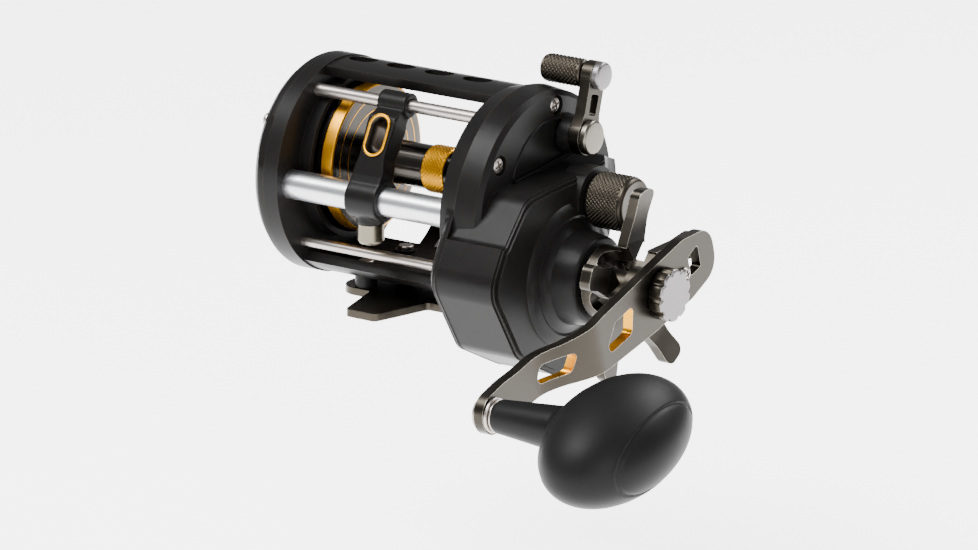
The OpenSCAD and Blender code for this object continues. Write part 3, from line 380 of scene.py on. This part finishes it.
def add_spool():
    """The spool with its gold rims, pinstripes and dark polished arbor."""
    stripes = [15.2, 19.0]
    left, right = LINE_X
    lip, root, skirt = FLANGE_R - 2, ARBOR_R + 2, FLANGE_R - 1.7
    gold_r, bore = FLANGE_R + 0.08, 2.1
    dish = 0.75
    face = [(left - 0.2, FLANGE_R), (left, FLANGE_R - 0.5), (left + 0.15, lip)]
    for r in reversed(stripes):
        x = left + 0.15 + dish * (lip - r) / (lip - root)
        face += [(x, r + 0.16), (x + 0.05, r + 0.12), (x + 0.05, r - 0.12), (x, r - 0.16)]
    face += [(left + 0.9, root), (left + 1.5, ARBOR_R + 0.7), (left + 3, ARBOR_R)]
    mirrored = [(left + right - x, r) for x, r in reversed(face)]
    tail_rim = [(left - 2.1, bore), (left - 2, skirt), (RIM_X[0], skirt), (RIM_X[0], FLANGE_R),
                (left - 4, FLANGE_R), (left - 3.9, gold_r), (left - 0.4, gold_r)]
    gear_rim = [(right + 0.4, gold_r), (right + 4, gold_r), (right + 4.1, FLANGE_R),
                (RIM_X[1], FLANGE_R), (RIM_X[1], skirt), (right + 2.2, skirt), (right + 2, bore)]
    spool = turned_piece("spool_turned", SPOOL, crisp(tail_rim + face + mirrored + gear_rim),
                         materials["spool_black"], "spool_assembly", replaces=("spool",),
                         slot="gunmetal")

    def is_gold(centre, normal):
        r = math.hypot(centre.y - SPOOL[0], centre.z - SPOOL[1])
        at_rim = left - 4.1 < centre.x < left + 0.3 or right < centre.x < right + 4.2
        on_stripe = any(abs(r - s) < 0.17 for s in stripes) and left - 0.1 < centre.x < right + 0.2
        return (r > FLANGE_R - 0.7 and at_rim) or (on_stripe and abs(normal.x) > 0.3)

    tint(spool, materials["gold"], is_gold)


# The gear side's outline, as in the CAD, for the cast flare between ring and housing.
CORNERS = [(-31, 50), (-47.9, 20.5), (-33.6, -2.8), (-11.6, -13.8), (16, -9), (31.6, 24),
           (20, 44)]
CORNER_RADII = [6, 9, 8, 11, 12, 10, 3]
HOUSING_MIDDLE = (-6, 20)


def shrunk(points, share):
    """Points moved towards the housing's middle."""
    return [(HOUSING_MIDDLE[0] + (y - HOUSING_MIDDLE[0]) * share,
             HOUSING_MIDDLE[1] + (z - HOUSING_MIDDLE[1]) * share) for y, z in points]


def rounded(points, radii, steps=8):
    """A polygon's outline with each corner rounded to its radius."""
    made = []
    for i, here in enumerate(points):
        p, q, s = Vector(points[i - 1]), Vector(here), Vector(points[(i + 1) % len(points)])
        u, v = (p - q).normalized(), (s - q).normalized()
        half = math.acos(max(-1, min(1, u.dot(v)))) / 2
        start, end = q + u * radii[i] / math.tan(half), q + v * radii[i] / math.tan(half)
        middle = q + (u + v).normalized() * radii[i] / math.sin(half)
        a, b = start - middle, end - middle
        turn = a.angle_signed(b)
        for k in range(steps + 1):
            t = -turn * k / steps
            made.append((middle.x + a.x * math.cos(t) - a.y * math.sin(t),
                         middle.y + a.x * math.sin(t) + a.y * math.cos(t)))
    return made


def housing_outline(inset):
    reach = 34
    return rounded(shrunk(CORNERS, 1 - inset / reach), CORNER_RADII)


def add_flare():
    """Smooth skin over the frame's cast flare from the ring to the gear housing."""
    rows, start, end = 16, 31.05, 36.9
    inner, outer = housing_outline(5.5), housing_outline(0.45)
    around = len(outer)
    points = []
    for i in range(rows + 1):
        t = i / rows
        ease = 1 - (1 - t) ** 1.7
        for (y0, z0), (y1, z1) in zip(inner, outer):
            points.append((start + (end - start) * t, y0 + (y1 - y0) * ease,
                           z0 + (z1 - z0) * ease))
    for x, ring in ((end, outer), (start, inner)):
        points += [(x, y, z) for y, z in shrunk(ring, 0.86)]
    faces = ring_faces(rows + 2, around)
    last = (rows + 2) * around
    faces += [(j, (j + 1) % around, last + (j + 1) % around, last + j) for j in range(around)]
    add_mesh("frame_flare", points, faces, materials["satin_black"], "reel_body",
             slot="satin_black")


def knurl(name, centre, span, radius, cut, ends, material, body, **kwargs):
    """A barrel with a diamond knurl along span, and a profile before and after it.

    The cut is (diamonds round the barrel, pitch along it, depth).
    """
    low, high = span
    count, pitch, depth = cut
    steps = 6
    flank = 3.2
    around = count * steps
    rows = round((high - low) / pitch * steps)
    before, after = ends
    points = [(x, r, j) for x, r in before for j in range(around)]
    for i in range(rows + 1):
        x = low + (high - low) * i / rows
        for j in range(around):
            a = (j / steps + i / steps) % 1
            b = (j / steps - i / steps) % 1
            rise = min(1, flank * min(a, 1 - a), flank * min(b, 1 - b))
            fade = min(1, i, rows - i)
            points.append((x, radius - depth * (1 - rise * fade), j))
    points += [(x, r, j) for x, r in after for j in range(around)]
    placed = [(x, centre[0] + r * math.cos(2 * math.pi * j / around),
               centre[1] + r * math.sin(2 * math.pi * j / around)) for x, r, j in points]
    total = len(points) // around
    return add_mesh(name, placed, ring_faces(total, around), material, body, **kwargs)


# Materials that differ from the record's slot of the node.
FINISH = {
    "gear_sleeve": "dark_gunmetal", "drag_spring_washers": "dark_gunmetal",
    "reel_foot": "dark_gunmetal", "tail_bearing_cap": "dark_gunmetal",
    "lever_end_cap": "nut_face", "lever_pivot_screw": "lever_steel", "pawl_cap": "warm_nickel",
}
REFINED = [
    "frame", "tail_plate", "gear_housing", "reel_foot", "pawl_cap", "freespool_lever",
    "star_drag", "handle_blade", "tail_bearing_cap", "clicker_button", "worm_shield",
    "lever_end_cap", "lever_pivot_screw", "knob_washers", "knob_post", "housing_screws",
    "tail_plate_screws", "foot_screws",
]
for node_name, node_obj in frame["nodes"].items():
    paint(node_obj, materials[FINISH.get(node_name, slot_of[node_name])])

finished = {}
for node_name in REFINED:
    finish = FINISH.get(node_name, slot_of[node_name])
    finished[node_name] = refine(node_name, material=materials[finish])
soften("line_guide_carriage", voxel=0.3, passes=9)


# The blade's gold windows, as spans along the blade, and their half height.
WINDOWS = [(-54.5, -39), (-32, -14)]
WINDOW_HALF = 5.6


def along_blade(centre):
    """Distance along the blade from the handle's axis, towards the short end."""
    return ((centre.y - MAIN[0]) * math.cos(HANDLE_ANGLE)
            + (centre.z - MAIN[1]) * math.sin(HANDLE_ANGLE))


def across_blade(centre):
    return ((centre.z - MAIN[1]) * math.cos(HANDLE_ANGLE)
            - (centre.y - MAIN[0]) * math.sin(HANDLE_ANGLE))


def in_window(centre, normal):
    """Walls of the two gold windows in the handle blade."""
    u, w = along_blade(centre), across_blade(centre)
    inside = any(start < u < end for start, end in WINDOWS)
    return inside and abs(w) < WINDOW_HALF and abs(normal.x) < 0.8


tint(finished["handle_blade"], materials["gold"], in_window)


# ------------------------------------------------------------ pieces

def smooth_max(a, b, k):
    """The larger of two values, rounded over where they meet."""
    h = max(k - abs(a - b), 0) / k
    return max(a, b) + h * h * k * 0.25


def knob_section(x):
    """Half width and half height of the knob at a station along X."""
    share = (x - KNOB_X) / KNOB_HALF
    body = math.sqrt(max(0.0, 1 - share * share))
    if x >= KNOB_X - 8:
        return KNOB_WIDE * body, KNOB_TALL * body
    neck = 4.9 + (x - NECK_X) * 0.085
    return smooth_max(neck, KNOB_WIDE * body, 3.0), smooth_max(neck, KNOB_TALL * body, 2.0)


def knob_stations():
    """(x, share of full size) pairs along the knob, with a rounded start of the neck."""
    start = [(0, 0.64), (0.01, 0.86), (0.15, 0.94), (0.5, 0.985)]
    made = [(NECK_X + step, share) for step, share in start]
    made += [(NECK_X + 0.9 + 0.6 * i, 1.0) for i in range(45)]
    grip_x = 112
    for degrees in range(58, 180):
        x = KNOB_X - KNOB_HALF * math.cos(math.radians(degrees))
        if x > grip_x:
            made.append((x, 1.0))
    return made


def panel_sink(u, w):
    """Depth of the oval panel on the knob's end, with the groove round it."""
    half_u, half_w = 19.2, 10.2
    groove, groove_share, floor_depth = 0.55, 0.035, 0.16
    rho = math.hypot(u / half_u, w / half_w)
    return groove * math.exp(-((rho - 1) / groove_share) ** 2) + floor_depth * (rho < 1)


def add_knob():
    """Neck and paddle grip in one moulding, with a blank oval panel on its end."""
    around = 160
    stations = knob_stations()
    along = Vector((0, math.cos(HANDLE_ANGLE), math.sin(HANDLE_ANGLE)))
    across = Vector((0, -math.sin(HANDLE_ANGLE), math.cos(HANDLE_ANGLE)))
    points = []
    for x, share in stations:
        wide, tall = knob_section(x)
        for j in range(around):
            t = 2 * math.pi * j / around
            u, w = wide * share * math.cos(t), tall * share * math.sin(t)
            sink = panel_sink(u, w) if x > KNOB_X + 4 else 0.0
            points.append(Vector((x - sink, *KNOB)) + along * u + across * w)
    faces = ring_faces(len(stations), around)
    points.append(Vector((KNOB_X + KNOB_HALF - panel_sink(0, 0), *KNOB)))
    last = (len(stations) - 1) * around
    faces += [(last + j, last + (j + 1) % around, len(points) - 1) for j in range(around)]
    add_mesh("knob_moulding", points, faces, materials["black_rubber"], "knob",
             replaces=("knob_grip", "knob_neck"), slot="black_rubber")


def add_knurled_parts():
    knurl("tension_cap_knurled", SPOOL, (61.1, 72.0), 8.4, (40, 1.35, 0.45),
          ([(60.7, 6.72), (60.7, 7.6), (60.95, 7.95)],
           [(72.1, 8.0), (72.9, 7.85), (73.4, 7.4), (73.6, 7.0), (73.4, 6.6), (73.4, 0.0)]),
          materials["dark_gunmetal"], "cast_control", replaces=("tension_cap",),
          slot="gunmetal")
    knurl("lever_thumb_knob", LEVER_TOP, (35.7, 47.8), 4.3, (20, 1.35, 0.4),
          ([(34.7, 0.0), (34.7, 3.3), (35.0, 3.8), (35.5, 4.05)],
           [(48.0, 4.0), (48.4, 3.9), (48.86, 3.6), (48.86, 0.0)]),
          materials["dark_gunmetal"], "lever", replaces=("lever_knob",), slot="gunmetal")
    knurl("arbor_band_knurled", SPOOL, (0.9, 8.6), 7.3, (36, 1.2, 0.22),
          ([(0.7, 6.72), (0.7, 6.9)], [(8.8, 6.9), (8.8, 6.72)]),
          materials["gold"], "spool_assembly", replaces=("arbor_band",), slot="gold")


def add_nut():
    """The handle nut: a scalloped dark side under a satin face."""
    around, lobes, depth = 180, 10, 0.95
    first_lobe = HANDLE_ANGLE + math.radians(18)
    low, high = 91.42, 96.02
    # Each station is (x, radius, share of the scallops' depth).
    profile = [(low, 3.0, 0.0), (low, 7.4, 0.4), (low + 0.3, 7.85, 0.9), (high - 0.5, 7.85, 1.0),
               (high - 0.1, 7.45, 1.0), (high, 7.1, 1.0), (high, 6.8, 0.95), (high, 3.5, 0.0),
               (high, 0.0, 0.0)]
    points = []
    for x, r, share in profile:
        for j in range(around):
            t = 2 * math.pi * j / around
            scallop = max(0.0, math.cos(lobes * (t - first_lobe))) ** 1.5
            reach = r - depth * share * scallop
            points.append((x, MAIN[0] + reach * math.cos(t), MAIN[1] + reach * math.sin(t)))
    nut = add_mesh("handle_nut_lobed", points, ring_faces(len(profile), around),
                   materials["nut_face"], "handle", replaces=("handle_nut",),
                   slot="satin_aluminium")
    tint(nut, materials["dark_gunmetal"], lambda c, n: abs(n.x) < 0.5)


def eye_outline(radius, straight, steps=16):
    """A slot's outline as (across, along) pairs."""
    made = []
    for side in (1, -1):
        for k in range(steps + 1):
            t = math.pi * k / steps
            made.append((side * radius * math.cos(t), side * (straight / 2 + radius * math.sin(t))))
    return made


def add_eye():
    """The line guide's insert: a narrow gold lip, with the bore behind it painted dark as shade."""
    lean = Vector((0, UPPER_ROD[0] - WORM[0], UPPER_ROD[1] - WORM[1])).normalized()
    front = Vector((0, -lean.z, lean.y))
    middle = Vector((CARRIAGE_X, *WORM)) + lean * EYE_ALONG
    lip_depth = 5.9
    profile = [(2.25, -1.1), (3.4, -1.1), (3.4, 5.84), (3.85, 5.84), (3.9, 6.1), (3.6, 6.4),
               (3.2, 6.4), (2.95, 6.1), (2.6, 5.6), (2.25, 5.0), (2.25, -1.1)]
    points = []
    for radius, depth in profile:
        for across, along in eye_outline(radius, EYE_STRAIGHT):
            points.append(middle + Vector((across, 0, 0)) + lean * along + front * depth)
    around = len(points) // len(profile)
    eye = add_mesh("line_guide_eye", points, ring_faces(len(profile), around),
                   materials["gold"], "carriage", replaces=("line_guide_insert",), slot="gold")

    # Painted shade: faces deeper than the lip take the dark material.
    def in_painted_shade(centre, normal):
        return (centre - middle).dot(front) < lip_depth

    tint(eye, materials["dark_gunmetal"], in_painted_shade)


def add_bead(name, outline, x, radius, body, material):
    """A fine raised bead along an open outline in the YZ plane."""
    around = 10
    points = []
    for i, (y, z) in enumerate(outline):
        before = Vector(outline[max(i - 1, 0)])
        after = Vector(outline[min(i + 1, len(outline) - 1)])
        side = (after - before).normalized().orthogonal()
        for j in range(around):
            t = 2 * math.pi * j / around
            shift = radius * math.cos(t)
            points.append((x + radius * math.sin(t), y + side.x * shift, z + side.y * shift))
    faces = ring_faces(len(outline), around)
    add_mesh(name, points, faces, material, body, slot="satin_black")


def add_panel_bead():
    """The rounded rim of the blank panel on the housing's upper part."""
    centre, radius, face_x = (1.1, 39.9), 20.8, 45.0
    arc = [polar(centre, radius, degrees) for degrees in range(68, 162, 2)]
    foot = [(arc[-1][0] + 1.2, arc[-1][1] - 1.4), (8.0, 48.4)]
    add_bead("panel_bead", arc + foot, face_x, 0.42, "reel_body", materials["satin_black"])


add_knob()
add_knurled_parts()
add_nut()
add_eye()
add_panel_bead()
add_spool()
add_flare()


# ------------------------------------------------------------ stage

def add_floor():
    """A pale floor just below the circle that the knob sweeps; the reel is held above it."""
    bpy.ops.mesh.primitive_grid_add(x_subdivisions=2, y_subdivisions=2, size=6)
    floor = bpy.context.active_object
    floor.name = "floor"
    gap = 1
    floor.location = (0, 0, (MAIN[1] - HANDLE_LENGTH - KNOB_WIDE - gap) * MM)
    g = Graph("floor")
    paint(floor, g.finish(Base_Color=rgb(0.95, 0.95, 0.95), Roughness=0.7,
                          Emission_Color=rgb(1, 1, 1), Emission_Strength=3.4))


def add_light(name, direction, distance, size, power):
    lamp = bpy.data.lights.new(name, "AREA")
    lamp.shape = "RECTANGLE"
    lamp.size, lamp.size_y = size
    lamp.energy = power
    obj = bpy.data.objects.new(name, lamp)
    bpy.context.scene.collection.objects.link(obj)
    towards = Vector(direction).normalized()
    centre = (cad_low + cad_high) / 2
    obj.location = centre + towards * distance
    obj.rotation_euler = (-towards).to_track_quat("-Z", "Y").to_euler()


def add_camera():
    azimuth, elevation = math.radians(35.5), math.radians(16.05)
    distance, shift_right, shift_down = 2000, 17.02, 31.88
    back = Vector((math.sin(azimuth) * math.cos(elevation),
                   -math.cos(azimuth) * math.cos(elevation), math.sin(elevation)))
    turn = (-back).to_track_quat("-Z", "Y")
    right, up = turn @ Vector((1, 0, 0)), turn @ Vector((0, 1, 0))
    data = bpy.data.cameras.new("camera")
    data.sensor_width = 36
    data.lens = 246.6
    data.clip_start, data.clip_end = 0.05, 20
    camera = bpy.data.objects.new("camera", data)
    bpy.context.scene.collection.objects.link(camera)
    aim = Vector((0, 3.4, 38.3))
    camera.location = (aim + back * distance + right * shift_right - up * shift_down) * MM
    camera.rotation_mode = "QUATERNION"
    camera.rotation_quaternion = turn
    bpy.context.scene.camera = camera


def set_world():
    world = bpy.data.worlds.new("studio")
    world.use_nodes = True
    sky = world.node_tree.nodes["Background"]
    sky.inputs["Color"].default_value = rgb(0.95, 0.95, 0.95)
    sky.inputs["Strength"].default_value = 0.4
    bpy.context.scene.world = world


add_floor()
add_light("key", (-0.5, -0.7, 1.3), 1.2, (0.8, 0.5), 30)
add_light("fill", (1.3, -1.0, 0.5), 1.4, (0.4, 0.9), 12)
add_light("rim", (0.3, 1.2, 1.2), 1.3, (1.0, 0.35), 20)
add_camera()
set_world()
